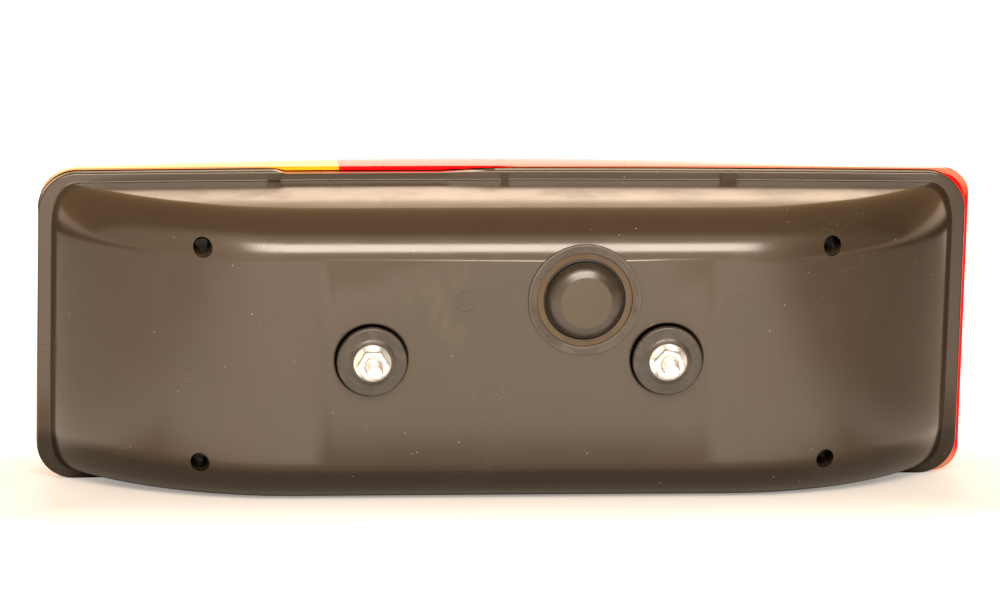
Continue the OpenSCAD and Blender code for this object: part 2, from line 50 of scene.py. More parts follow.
# Sizes shared with the solids
STUD_X = 76.0
MID_Z = -2.3
HALF_W, HALF_H, CORNER = 243.0, 81.75, 20.0
LEDGE, BOW = 5.0, 7.0
RIM_T, LIP_T, PLATE_T, SILL_T = 8.0, 1.8, 2.4, 6.0
PANEL_Y, DEPTH = 7.0, 77.0
PANEL_HALF_W, PANEL_HALF_H, PANEL_CORNER = 112.0, 53.0, 3.0
PANEL_STEP = 0.3
WALL = 2.6
RIM_Y = PANEL_Y + DEPTH
LIP_Y = RIM_Y + RIM_T
STUD_R, STUD_TIP_Y, STUD_ROOT_Y, STUD_HOLE_R = 4.0, -21.0, 14.0, 3.75
WAY_X, WAY_Z, WAY_DROP, WAY_R, WAY_END_Y = 162.0, 56.5, 0.6, 4.7, 67.0
TOWER_WALL, TOWER_Y0, TOWER_Y1, SCREW_HOLE_R = 2.2, 23.0, 70.0, 2.3
BOSS_R, BOSS_END_Y = 13.0, 19.0
ENTRY_R, ENTRY_BOSS_R, ENTRY_BOSS_T = 22.9, 28.1, 6.6
SEAL_X, SEAL_Z, SEAL_Y = 33.0, 31.2, PANEL_Y - 2.0
RIDGE_PITCH = 1.05
INSERT_X, INSERT_Z = -28.0, 30.4
MARK_PITCH = 117.5
NOTCH_X0, NOTCH_X1 = -MARK_PITCH - 6, 10.0
LENS_X0, LENS_X1, LENS_SPLIT = -242.6, 245.8, -86.0
LENS_HALF_H, LENS_T, LENS_GAP = 82.35, 2.6, 0.2
LENS_CORNER_LEFT, LENS_CORNER_RIGHT = 20.0, 14.0
WINDOWS_X, WINDOW_HALF_W, WINDOW_HALF_H = (-36.0, 64.0), 44.0, 31.0


# Meshes
def make_mesh(name, points, faces):
    """An object from points in millimetres and rows of four (or three) corner numbers."""
    mesh = bpy.data.meshes.new(name)
    faces = np.asarray(faces, np.int32)
    mesh.vertices.add(len(points))
    mesh.vertices.foreach_set("co", (np.asarray(points) * MM).astype(np.float32).ravel())
    mesh.loops.add(faces.size)
    mesh.loops.foreach_set("vertex_index", faces.ravel())
    mesh.polygons.add(len(faces))
    starts = np.arange(0, faces.size, faces.shape[1], dtype=np.int32)
    mesh.polygons.foreach_set("loop_start", starts)
    mesh.update(calc_edges=True)
    mesh.validate()
    mesh.shade_smooth()
    piece = bpy.data.objects.new(name, mesh)
    bpy.context.scene.collection.objects.link(piece)
    return piece


def sheet_faces(rows, columns):
    """Corner numbers of a grid of rows by columns, whose last column joins the first."""
    index = np.arange(rows * columns).reshape(rows, columns)
    right = np.roll(index, -1, axis=1)
    return np.stack([index[:-1], right[:-1], right[1:], index[1:]], -1).reshape(-1, 4)


def turned(name, profile, x, z, count):
    """Turns a closed profile of (radius r, height h) rows about an axis along Y. The points are
    (x + r cos a, -h, z + r sin a) for angles a all round."""
    profile = np.asarray(profile, float)
    a = np.linspace(0, TAU, count, endpoint=False)
    r, h = profile[:, 0:1], profile[:, 1:2]
    grid = np.stack([x + r * np.cos(a), 0 * a - h, z + r * np.sin(a)], -1)
    return grid_piece(name, grid)


def grid_piece(name, grid, sharp=32.0):
    """A closed piece from rows of rings. A row of points in one place closes an end; rows that end
    where they began make a ring-shaped solid."""
    rows, count = grid.shape[:2]
    piece = make_mesh(name, grid.reshape(-1, 3), sheet_faces(rows, count))
    weld(piece, sharp)
    return piece


def weld(piece, sharp, distance=1e-6):
    """Merges points nearer than a distance in metres, drops empty faces, turns the faces outwards
    and marks the edges that bend by more than a number of degrees as sharp."""
    work = bmesh.new()
    work.from_mesh(piece.data)
    bmesh.ops.remove_doubles(work, verts=work.verts, dist=distance)
    bmesh.ops.dissolve_degenerate(work, edges=work.edges, dist=distance)
    bmesh.ops.recalc_face_normals(work, faces=work.faces)
    work.to_mesh(piece.data)
    work.free()
    piece.data.shade_smooth()
    piece.data.set_sharp_from_angle(angle=math.radians(sharp))


def combine(piece, others, operation):
    """Joins the other solids to a piece, or cuts them from it, and keeps only the result."""
    for other in others:
        modifier = piece.modifiers.new("combine", "BOOLEAN")
        modifier.operation, modifier.object, modifier.solver = operation, other, "MANIFOLD"
    graph = bpy.context.evaluated_depsgraph_get()
    made = bpy.data.meshes.new_from_object(piece.evaluated_get(graph))
    piece.modifiers.clear()
    piece.data = made
    for other in others:
        bpy.data.objects.remove(other)


def smooth(low, high, x):
    """Rises from 0 to 1 between low and high."""
    t = np.clip((np.asarray(x, float) - low) / (high - low), 0, 1)
    return t * t * (3 - 2 * t)


def blend(a, b, share):
    """The value at a share of the way from a to b."""
    return a + (b - a) * share


# Outlines

# Steps along each corner, each long edge and each short edge, and the points of a whole ring
CORNER_N, LONG_N, SHORT_N = 30, 128, 45
RING_N = 4 * (CORNER_N + 1) + 2 * (LONG_N - 1) + 2 * (SHORT_N - 1)


def rounded(x0, x1, z0, z1, radius, radius_right=None):
    """A rounded rectangle as one ring of points, counter-clockwise from the right side's top:
    four corner arcs, two long edges and two short edges. Every ring has the same count."""
    rl, rr = radius, radius if radius_right is None else radius_right
    turn = np.linspace(0, QUARTER, CORNER_N + 1)

    def arc(cx, cz, r, start):
        return np.stack([cx + r * np.cos(start + turn), cz + r * np.sin(start + turn)], -1)

    def edge(a, b, n):
        t = np.arange(1, n)[:, None] / n
        return np.array(a) + (np.array(b) - np.array(a)) * t

    parts = [
        arc(x1 - rr, z1 - rr, rr, 0), edge((x1 - rr, z1), (x0 + rl, z1), LONG_N),
        arc(x0 + rl, z1 - rl, rl, QUARTER), edge((x0, z1 - rl), (x0, z0 + rl), SHORT_N),
        arc(x0 + rl, z0 + rl, rl, 2 * QUARTER), edge((x0 + rl, z0), (x1 - rr, z0), LONG_N),
        arc(x1 - rr, z0 + rr, rr, 3 * QUARTER), edge((x1, z0 + rr), (x1, z1 - rr), SHORT_N)]
    return np.concatenate(parts)


def bow(x):
    """How far the rim stands forward of its ends at x: a shallow parabola."""
    return BOW * (1 - (x / HALF_W) ** 2)


def ring(a, b, r, y, share=1.0):
    """A ring of the housing: half width, half height, corner radius, and depth, which follows
    the rim's bow by a share."""
    p = rounded(-a, a, MID_Z - b, MID_Z + b, r)
    return np.stack([p[:, 0], y + share * bow(p[:, 0]), p[:, 1]], -1)


# Housing

# The bowl's plan is an arc of radius END_R from the panel's edge out to the rim
END_RUN = HALF_W - LEDGE - PANEL_HALF_W
END_R = (END_RUN ** 2 + DEPTH ** 2) / (2 * DEPTH)
END_SOFTNESS = 4.0
# Its long sides are a rounded shoulder that starts at a faint crease, and a wall with some draft
SHOULDER = 24.0
DRAFT = math.tan(math.radians(0.5))
RISE = HALF_H - LEDGE - PANEL_HALF_H - (DEPTH - SHOULDER) * DRAFT
CREASE = math.radians(5)
# The upper wall is drawn in by TOP_EASE at the panel, which fades out between two depths
TOP_EASE, EASE_FROM, EASE_TO, EASE_EDGE = 1.1, SHOULDER - 16, SHOULDER + 15, 2.0
# Edges of the moulding that bend by more degrees than this are sharp
MOULDING_SHARP = 30.0


def plan_half(f, inset):
    """Half width where the plan is f deep: the arc x = w + sqrt((R - i)^2 - (R - f)^2), which the
    softened limit (a + b - sqrt((a - b)^2 + s^2)) / 2 turns upright just before the rim."""
    arc = PANEL_HALF_W + np.sqrt(np.maximum((END_R - inset) ** 2 - (END_R - f) ** 2, 0))
    upright = HALF_W - LEDGE - inset
    return (arc + upright - np.sqrt((arc - upright) ** 2 + END_SOFTNESS ** 2)) / 2


def bowl_corner(d, inset):
    """One corner of the bowl at depth d, from its end to its long wall. The back is swept, so the
    depth of the plan's arc and the depth of the rounded shoulder add up to d. The shoulder turns
    from a faint crease at the panel's edge to the upright wall."""
    r = SHOULDER - inset
    full = math.cos(CREASE)
    last = math.acos(min(full, full * (SHOULDER - d) / r)) if d < SHOULDER else QUARTER
    a = np.linspace(CREASE, last, CORNER_N + 1)
    rise = (np.sin(a) - math.sin(CREASE)) / (1 - math.sin(CREASE))
    x = plan_half(d + inset - SHOULDER + r * np.cos(a) / full, inset)
    z = PANEL_HALF_H + (RISE - inset + max(0.0, d - SHOULDER) * DRAFT) * rise
    return x, z


def bowl_ring(t, inset):
    """The bowl's ring at depth t, as corners and edges in the order that rounded uses, with the
    upper ones drawn in by the ease."""
    d = inset + t * (1 - inset / DEPTH)
    x, z = bowl_corner(d, inset)
    across = np.linspace(x[-1], -x[-1], LONG_N + 1)[1:-1]
    up = np.linspace(z[0], -z[0], SHORT_N + 1)[1:-1]
    side, flat = np.full(SHORT_N - 1, x[0]), np.full(LONG_N - 1, z[-1])
    px = np.concatenate([x, across, -x[::-1], -side, -x, -across, x[::-1], side])
    pz = np.concatenate([z, flat, z[::-1], up, -z, -flat, -z[::-1], -up])
    sunk = TOP_EASE * (1 - smooth(EASE_FROM, EASE_TO, d))
    pz = pz - sunk * smooth(PANEL_HALF_H + EASE_EDGE, PANEL_HALF_H + RISE, pz)
    return np.stack([px, PANEL_Y + d + d / DEPTH * bow(px), MID_Z + pz], -1)


def bowl_rings(inset, shoulder_steps, wall_steps):
    """Rings down the shoulder at even angles of its round, then down the wall at even depths."""
    turn = np.linspace(CREASE, QUARTER, shoulder_steps + 1)[1:]
    depths = np.concatenate([SHOULDER * (1 - np.cos(turn) / math.cos(CREASE)),
                             np.linspace(SHOULDER, DEPTH, wall_steps + 1)[1:]])
    return [bowl_ring(t, inset) for t in depths]


def rim_ring(inset, y):
    """A ring of the rim, drawn in by an inset, at depth y."""
    return ring(HALF_W - inset, HALF_H - inset, CORNER - inset, y)


def panel_rings(y, steps):
    """Rings from a line along the panel's middle, which is all but closed, out to its edge."""
    closed = 0.001
    rings = []
    for keep in np.linspace(closed, PANEL_HALF_H, steps):
        drawn_in = PANEL_HALF_H - keep
        rings.append(ring(PANEL_HALF_W + PANEL_CORNER - drawn_in, keep,
                          PANEL_CORNER * keep / PANEL_HALF_H, y, 0.0))
    return rings


def loft(name, rings):
    """A closed shell through rings of RING_N points, with a flat end at the first and the last."""
    count = len(rings)
    faces = np.concatenate([sheet_faces(count, RING_N),
                            flat_end(0, True), flat_end((count - 1) * RING_N, False)])
    return make_mesh(name, np.concatenate(rings), faces)


def build_housing():
    """The whole moulding as one loft: panel, bowl, root fillet, bead, lip, floor, sill and inner
    bowl. The fillet and the bead are quarter rounds: r (1 - sin a) along and r (1 - cos a) out."""
    root, bead, lip_edge = 0.6, 1.0, 0.3
    quarter = np.linspace(0, QUARTER, 7)
    fillet = [bowl_ring(DEPTH - root * (1 - math.sin(a)), -root * (1 - math.cos(a)))
              for a in quarter]
    edge = [rim_ring(bead - bead * math.sin(a), RIM_Y + bead - bead * math.cos(a)) for a in quarter]
    outer = bowl_rings(0.0, shoulder_steps=52, wall_steps=26)[:-1]
    inner = bowl_rings(WALL, shoulder_steps=10, wall_steps=6)[::-1]
    floor_y, sill_y = RIM_Y + PLATE_T, RIM_Y + SILL_T
    rim = [rim_ring(0, LIP_Y - lip_edge), rim_ring(lip_edge, LIP_Y), rim_ring(LIP_T, LIP_Y),
           rim_ring(LIP_T, floor_y), rim_ring(LEDGE, floor_y), rim_ring(LEDGE, sill_y),
           rim_ring(LEDGE + WALL, sill_y)]
    shell = loft("housing_shell", panel_rings(PANEL_Y, 26) + outer + fillet + edge + rim + inner
                 + panel_rings(PANEL_Y + WALL, 8)[::-1])
    weld(shell, 0)
    return shell


def flat_end(first, flip):
    """Closes a ring whose points start at first. Strips join the points that lie above each other
    on its top and bottom edge, and those across each of its short sides."""
    top = np.arange(0, 2 * (CORNER_N + 1) + LONG_N - 1)
    start_bottom = len(top) + SHORT_N - 1
    bottom = np.arange(start_bottom, start_bottom + len(top))
    low = bottom[::-1]
    strips = [np.stack([top[:-1], top[1:], low[1:], low[:-1]], -1)]
    left = np.arange(len(top) - 1, start_bottom + 1)
    right = np.r_[np.arange(bottom[-1], RING_N), 0]
    for side in (left, right):
        k = len(side)
        j = np.arange((k - 1) // 2)
        strips.append(np.stack([side[j], side[j + 1], side[k - 2 - j], side[k - 1 - j]], -1))
    faces = first + np.concatenate(strips)
    return faces[:, ::-1] if flip else faces


def cylinder(name, x, z, y0, y1, radius, count=64):
    """A plain solid along Y, to join to or cut from a moulding."""
    return turned(name, [(0, -y0), (radius, -y0), (radius, -y1), (0, -y1)], x, z, count)


def prism(name, outline, y0, y1, draw_in=0.0):
    """A solid from an outline in X and Z, from y0 to y1, drawn in a little at the y0 end."""
    flat = np.asarray(outline, float)
    middle = flat.mean(axis=0)
    size = np.abs(flat - middle).max(axis=0)
    near = middle + (flat - middle) * (1 - draw_in / size)
    n = len(flat)
    i = np.arange(n)
    j = np.roll(i, -1)
    points = np.concatenate([np.insert(near, 1, y0, axis=1), np.insert(flat, 1, y1, axis=1),
                             [[middle[0], y0, middle[1]], [middle[0], y1, middle[1]]]])
    faces = np.concatenate([np.stack([i, j, n + i], -1), np.stack([j, n + j, n + i], -1),
                            np.stack([j, i, i * 0 + 2 * n], -1),
                            np.stack([n + i, n + j, i * 0 + 2 * n + 1], -1)])
    piece = make_mesh(name, points, faces)
    weld(piece, MOULDING_SHARP)
    return piece


def panel_mark():
    """The mould insert's mark: the panel is raised by a step that fades out at both ends. Its back
    is sunk in the wall and wider, so that its long sides slope."""
    run, fade, sunk = 112.0, 16.0, 0.2
    front_over, back_over, back_y = 0.5, 4.0, PANEL_Y + 1.2
    x = np.array([-run, -run + fade, run - fade, run])
    y = PANEL_Y + np.array([sunk, -PANEL_STEP, -PANEL_STEP, sunk])
    z0, z1 = MID_Z - PANEL_HALF_H, MID_Z + PANEL_HALF_H
    points = [(a, b, z) for z in (z0 - front_over, z1 + front_over) for a, b in zip(x, y)]
    points += [(a, back_y, z) for z in (z0 - back_over, z1 + back_over) for a in x]
    low, high = np.array([0, 1, 2, 3, 11, 10, 9, 8]), np.array([4, 5, 6, 7, 15, 14, 13, 12])
    sides = np.stack([low, np.roll(low, -1), np.roll(high, -1), high], -1)
    ends = [(k, k + 1, k + 9, k + 8) for k in (0, 1, 2, 4, 5, 6)]
    piece = make_mesh("panel_mark", points, np.concatenate([sides, ends]))
    weld(piece, MOULDING_SHARP)
    return piece


def tapered(x, foot_half, top_half, z0, z1):
    """The outline of an upright mark that narrows from its foot to its top."""
    return [(x - foot_half, z0), (x + foot_half, z0), (x + top_half, z1), (x - top_half, z1)]


def rim_marks():
    """A clip's foot, a block and a nib at even spacing along the upper ledge. The first two have a
    lower front part and a taller part behind it."""
    top = MID_Z + HALF_H
    foot, front_top = top - LEDGE - 0.6, top - 0.9
    nib_top, nib_foot_end = foot + 3.6, 6.5
    marks = []
    for x, wide, lean in ((0.0, 4.6, 0.7), (MARK_PITCH, 9.4, 0.9)):
        half = wide / 2
        y = RIM_Y + bow(x)
        front = tapered(x, half, half - lean, foot, front_top)
        behind = tapered(x, half - 0.4, half - 0.7, top - 3, top)
        marks.append(prism("mark", front, y - 0.8, y + 1.5, draw_in=0.25))
        marks.append(prism("mark_top", behind, y + 0.4, y + 6, draw_in=0.2))
    x = -MARK_PITCH
    y = RIM_Y + bow(x)
    nib = [(x - 0.5, foot), (x + 0.5, foot), (x + 0.35, nib_top), (x + 0.1, nib_top)]
    nib_foot = [(x - nib_foot_end, foot + 1.1), (x, foot + 0.9), (x, foot + 2.2)]
    marks.append(prism("nib", nib, y - 1.5, y + 0.8, draw_in=0.2))
    marks.append(prism("nib_foot", nib_foot, y - 0.5, y + 0.8, draw_in=0.1))
    return marks


def lip_notch():
    """The lip is cut lower between two of the marks, with ends that slope gently."""
    top, deep, over = MID_Z + HALF_H, 1.2, 1.0
    left_slope, right_slope = 9.0, 44.0
    shape = [(NOTCH_X0, top + over), (NOTCH_X0 + left_slope, top - deep),
             (NOTCH_X1 - right_slope, top - deep), (NOTCH_X1, top + 0.6)]
    return prism("lip_notch", shape, RIM_Y + PLATE_T + 0.6, LIP_Y + BOW + over)


def ring_groove(name, x, z, inner, outer, y0, y1):
    """A tube to cut a round groove with."""
    profile = [(inner, -y0), (outer, -y0), (outer, -y1), (inner, -y1), (inner, -y0)]
    return turned(name, profile, x, z, 64)


def pedestal_profile():
    """A low cone that flares out to the panel in a quarter round: f - (f - t) sin a from the axis,
    and high (1 - cos a) up. Its foot is buried in the wall."""
    foot, top, high, buried = 20.8, 17.8, 3.6, 1.5
    a = np.linspace(0, QUARTER, 9)
    flare = np.stack([foot - (foot - top) * np.sin(a), -PANEL_Y + high * (1 - np.cos(a))], -1)
    return np.concatenate([[[0, -PANEL_Y - buried], [foot, -PANEL_Y - buried]], flare,
                           [[0, -PANEL_Y + high]]])


def finish_housing(shell):
    """Adds the pedestals, towers and marks of the moulding, and cuts its holes. The cutters start
    and end in the open, and what is added starts in the wall."""
    added, cut = [], []
    for x in (-STUD_X, STUD_X):
        added.append(turned("pedestal", pedestal_profile(), x, 0, 96))
        added.append(cylinder("boss", x, 0, PANEL_Y + 1, BOSS_END_Y, BOSS_R))
        cut.append(cylinder("stud_hole", x, 0, -2, 30, STUD_HOLE_R))
    for x in (-WAY_X, WAY_X):
        for z in (-WAY_Z - WAY_DROP, WAY_Z - WAY_DROP):
            added.append(cylinder("tower", x, z, TOWER_Y0, TOWER_Y1, WAY_R + TOWER_WALL))
            cut.append(cylinder("way", x, z, 0, WAY_END_Y, WAY_R))
            cut.append(cylinder("screw_hole", x, z, 60, TOWER_Y1 + 1, SCREW_HOLE_R, count=32))
    added.append(cylinder("entry_boss", SEAL_X, SEAL_Z, PANEL_Y, PANEL_Y + ENTRY_BOSS_T,
                          ENTRY_BOSS_R, count=160))
    cut.append(cylinder("entry", SEAL_X, SEAL_Z, 0, 20, ENTRY_R))
    cut.append(lip_notch())
    face = PANEL_Y - PANEL_STEP
    for name, inner, outer, deep in (("date_ring", 5.0, 5.5, 0.3), ("date_dot", 2.2, 2.6, 0.25)):
        cut.append(ring_groove(name, INSERT_X, INSERT_Z, inner, outer, face - 1, face + deep))
    added += rim_marks() + [panel_mark()]
    combine(shell, added, "UNION")
    combine(shell, cut, "DIFFERENCE")
    weld(shell, MOULDING_SHARP)
    shell.name = "housing_moulding"
    return shell


# Lens

# The lens stands LENS_EDGE high at its ends and crowns by CROWN near its middle
LENS_EDGE, CROWN, CROWN_X, CROWN_BEND, CROWN_SOFTNESS = 4.25, 15.5, -25.0, 0.0004, 4.0


def lens_rise(x):
    """Depth of the lens at x: an edge plus (g + sqrt(g^2 + s^2)) / 2, where the crown g is a
    parabola, so that it eases into the even edge at the ends."""
    g = CROWN - CROWN_BEND * (x - CROWN_X) ** 2
    return LENS_EDGE + (g + np.sqrt(g * g + CROWN_SOFTNESS ** 2)) / 2


def lens_ring(share, inset, back=0.0):
    """A ring of the lens at a share of its depth, drawn in by an inset and set back."""
    p = rounded(LENS_X0 + inset, LENS_X1 - inset, MID_Z - LENS_HALF_H + inset,
                MID_Z + LENS_HALF_H - inset, LENS_CORNER_LEFT - inset / 2,
                LENS_CORNER_RIGHT - inset / 2)
    x = p[:, 0]
    return np.stack([x, LIP_Y + LENS_GAP + bow(x) + share * lens_rise(x) - back, p[:, 1]], -1)


def lens_front(base, y_offset):
    """Rings that shrink from a base ring to the middle line, so that the front can curve."""
    steps, closed, least_corner = 16, 0.01, 0.004
    corner_left, corner_right = 15.0, 11.0
    made = []
    x0, x1 = base[:, 0].min(), base[:, 0].max()
    z0, z1 = base[:, 2].min(), base[:, 2].max()
    half = (z1 - z0) / 2
    for k in range(1, steps + 1):
        s = (half - closed) * k / steps
        keep = 1 - s / half
        p = rounded(x0 + s, x1 - s, z0 + s, z1 - s, max(least_corner, corner_left * keep),
                    max(least_corner, corner_right * keep))
        x = p[:, 0]
        y = LIP_Y + LENS_GAP + bow(x) + lens_rise(x) - y_offset
        made.append(np.stack([x, y, p[:, 1]], -1))
    return made


def build_lens(name):
    """The lens as one closed shell: inner front, inner wall, base, outer wall with its draft, a
    quarter round of share s + (1 - s) sin a and inset i + r (1 - cos a), and the front."""
    edge = 0.25
    outer_share, outer_inset, outer_round = 0.84, 0.2, 3.4
    inner_share, inner_inset, inner_round = 0.7, LENS_T + 0.3, 3.0
    angles = np.linspace(0, QUARTER, 9)[1:]
    outer = [lens_ring(0, edge), lens_ring(0, 0, -edge), lens_ring(outer_share, outer_inset)]
    inner = [lens_ring(0, LENS_T - edge), lens_ring(0, LENS_T, -edge),
             lens_ring(inner_share, inner_inset)]
    for a in angles:
        rise, drawn_in = math.sin(a), 1 - math.cos(a)
        outer.append(lens_ring(outer_share + (1 - outer_share) * rise,
                               outer_inset + outer_round * drawn_in))
        inner.append(lens_ring(inner_share + (1 - inner_share) * rise,
                               inner_inset + inner_round * drawn_in, LENS_T * rise))
    outer += lens_front(outer[-1], 0.0)
    inner += lens_front(inner[-1], LENS_T)
    lens = loft(name, inner[::-1] + outer)
    weld(lens, 0, 2e-6)
    return lens


def block(name, x0, x1, y0, y1, z0, z1):
    """A plain block, used only to cut with."""
    corners = np.array([[x, y, z] for x in (x0, x1) for y in (y0, y1) for z in (z0, z1)], float)
    faces = [(0, 1, 3, 2), (4, 6, 7, 5), (0, 4, 5, 1), (2, 3, 7, 6), (0, 2, 6, 4), (1, 5, 7, 3)]
    return make_mesh(name, corners, faces)


def lens_piece(name, x0, x1, windows=()):
    """One colour of the lens: the part of the shell between two planes, with its windows cut. The
    blocks are larger than the lens."""
    piece = build_lens(name)
    combine(piece, [block("keep", x0, x1, 0, 200, -120, 120)], "INTERSECT")
    if windows:
        combine(piece, [block("window", x - WINDOW_HALF_W, x + WINDOW_HALF_W, 70, 150,
                              MID_Z - WINDOW_HALF_H, MID_Z + WINDOW_HALF_H)
                        for x in windows], "DIFFERENCE")
    weld(piece, 28)
    return piece


# Fixings
def thread_piece(name, x):
    """A threaded stud: the radius at angle a and height h follows a rounded saw of the phase
    h / pitch - a / turn, and a cone trims it at the tip."""
    pitch, depth, flank, crest = 1.25, 0.72, 2.5, 0.12
    chamfer, slope = 0.95, 0.9
    count, rows_per_turn = 64, 12
    length = STUD_ROOT_Y - STUD_TIP_Y
    h = np.linspace(0, length, int(length / pitch * rows_per_turn))[:, None]
    a = np.linspace(0, TAU, count, endpoint=False)[None, :]
    phase = (h / pitch - a / TAU) % 1.0
    saw = np.clip(np.abs(phase - 0.5) * flank - crest, 0, 1)
    r = np.minimum(STUD_R - depth * saw, STUD_R - chamfer + h * slope)
    grid = np.stack([x + r * np.cos(a), STUD_TIP_Y + h + 0 * a, r * np.sin(a)], -1)
    first, last = (np.tile([x, y, 0.0], (1, count, 1)) for y in (STUD_TIP_Y, STUD_ROOT_Y))
    return grid_piece(name, np.concatenate([first, grid, last]), 50)


def nut_piece(name, x, turn):
    """A flange nut: a round collar that slopes up into a hexagon, whose corners a cone trims. The
    hexagon's radius is half the flats over the cosine of the angle from the nearest flat."""
    y_back, flats, high = -0.45, 14.0, 8.0
    bore, collar, eased = 3.7, 9.7, 9.35
    slope_h, slope_high, side_h = 1.7, 1.5, 3.4
    cone_r, cone_slope, corner_cut = 6.7, 1.75, 0.18
    count = 144
    a = np.linspace(0, TAU, count, endpoint=False)
    sector = (a + turn + TAU / 12) % (TAU / 6) - TAU / 12
    hexagon = flats / 2 / np.cos(sector)
    hexagon = np.minimum(hexagon, flats / 2 / math.cos(TAU / 12) - corner_cut)
    rows = [(collar - 0.5, 0.0), (collar, 0.25), (collar, 1.3), (eased, slope_h)]
    for k in np.linspace(0, 1, 7)[1:]:
        r = blend(eased, hexagon + 0.35 * (1 - k), k ** 0.85)
        rows.append((np.maximum(r, hexagon), slope_h + slope_high * k))
    for h in np.linspace(side_h, high, 24):
        rows.append((np.minimum(hexagon, cone_r + (high - h) * cone_slope), h))
    rows += [(5.0, high), (4.3, high - 0.7), (bore, high - 0.9), (bore, 0.0)]
    rows.append(rows[0])
    grid = np.stack([np.stack([x + r * np.cos(a), np.full(count, y_back - h), r * np.sin(a)], -1)
                     for r, h in rows])
    return grid_piece(name, grid, 24)


def pad_piece(name, x):
    """A round rubber pad with soft edges and a raised ring about the stud: two quarter rounds and
    a hub, as rows of radius and height."""
    back = -3.4
    a = np.linspace(0, QUARTER, 6)
    outer = np.stack([17.2 + 0.8 * np.sin(a), back + 0.8 * (1 - np.cos(a))], -1)
    top = np.stack([17.0 + 1.0 * np.cos(a), -1.0 + 1.0 * np.sin(a)], -1)
    hub = [(12.6, 0.0), (12.2, 0.05), (11.4, 0.35), (10.9, 0.62), (10.5, 0.7), (10.0, 0.66),
           (9.4, 0.45), (8.6, 0.45), (STUD_HOLE_R, 0.45), (STUD_HOLE_R, back)]
    profile = np.concatenate([outer, top, hub, outer[:1]])
    return turned(name, profile, x, 0, 128)


def seal_piece(name):
    """The cable entry's rubber ring: an outer rim with fine ridges, a sunk inner ledge, and a
    groove's lip behind the wall."""
    face, back = -SEAL_Y, -17.5
    bore, neck, outer = 21.2, 22.7, 29.1
    first_ridge, ridge_high = 25.6, 0.3
    profile = [(bore, face - 1.6), (24.3, face - 1.5), (24.55, face - 1.2), (24.75, face - 0.1),
               (24.95, face)]
    for k in range(3):
        r = first_ridge + RIDGE_PITCH * k
        profile += [(r - 0.42, face), (r - 0.18, face + ridge_high), (r + 0.12, face + ridge_high),
                    (r + 0.36, face)]
    profile += [(outer - 0.7, face), (outer - 0.2, face - 0.2), (outer, face - 0.7),
                (outer, face - 1.8), (neck, face - 1.8), (neck, -15.0), (24.3, -16.0),
                (neck, back), (bore, back), (bore, face - 1.6)]
    return turned(name, profile, SEAL_X, SEAL_Z, 160)


def plug_piece(name):
    """The domed blanking cap: a flat disc, a chamfer, a soft shoulder and a hollow skirt, as rows
    of radius and height."""
    face, back = -SEAL_Y, -15.0
    top, wall_top = face + 7.0, face + 4.8
    profile = [(0, top), (13.0, top), (13.4, top - 0.1), (14.2, top - 0.45), (15.2, top - 0.8),
               (16.2, top - 1.22), (17.2, top - 1.78), (18.1, top - 2.5), (18.9, top - 3.5),
               (19.5, top - 4.7), (19.9, top - 6.2), (20.0, face), (20.1, face - 1.2),
               (20.1, face - 2.2), (21.1, face - 2.6), (21.1, back), (19.2, back),
               (19.2, face - 3.4), (17.0, top - 6.0), (12.9, wall_top), (0, wall_top)]
    return turned(name, profile, SEAL_X, SEAL_Z, 160)


# Materials
class Value:
    """A shader socket that holds a number, with arithmetic that adds Math nodes."""

    def __init__(self, tree, socket):
        self.tree, self.socket = tree, socket

    def math(self, operation, *others):
        """This value and others through a Math node."""
        node = self.tree.nodes.new("ShaderNodeMath")
        node.operation = operation
        for slot, value in zip(node.inputs, (self,) + others):
            plug(self.tree, slot, value)
        return Value(self.tree, node.outputs[0])

    def __add__(self, other):
        return self.math("ADD", other)

    def __mul__(self, other):
        return self.math("MULTIPLY", other)

    def __sub__(self, other):
        return self.math("SUBTRACT", other)

    def __rsub__(self, other):
        return self * -1.0 + other

    __radd__ = __add__
    __rmul__ = __mul__

    def span(self, low, high):
        """0 at low and below, 1 at high and above, eased between."""
        node = self.tree.nodes.new("ShaderNodeMapRange")
        node.interpolation_type = "SMOOTHSTEP"
        plug(self.tree, node.inputs[0], self)
        node.inputs[1].default_value, node.inputs[2].default_value = low, high
        return Value(self.tree, node.outputs[0])


def plug(tree, slot, value):
    """Links a value or socket to a slot, or writes a number or colour into it."""
    if isinstance(value, Value):
        tree.links.new(value.socket, slot)
    elif isinstance(value, bpy.types.NodeSocket):
        tree.links.new(value, slot)
    else:
        slot.default_value = value


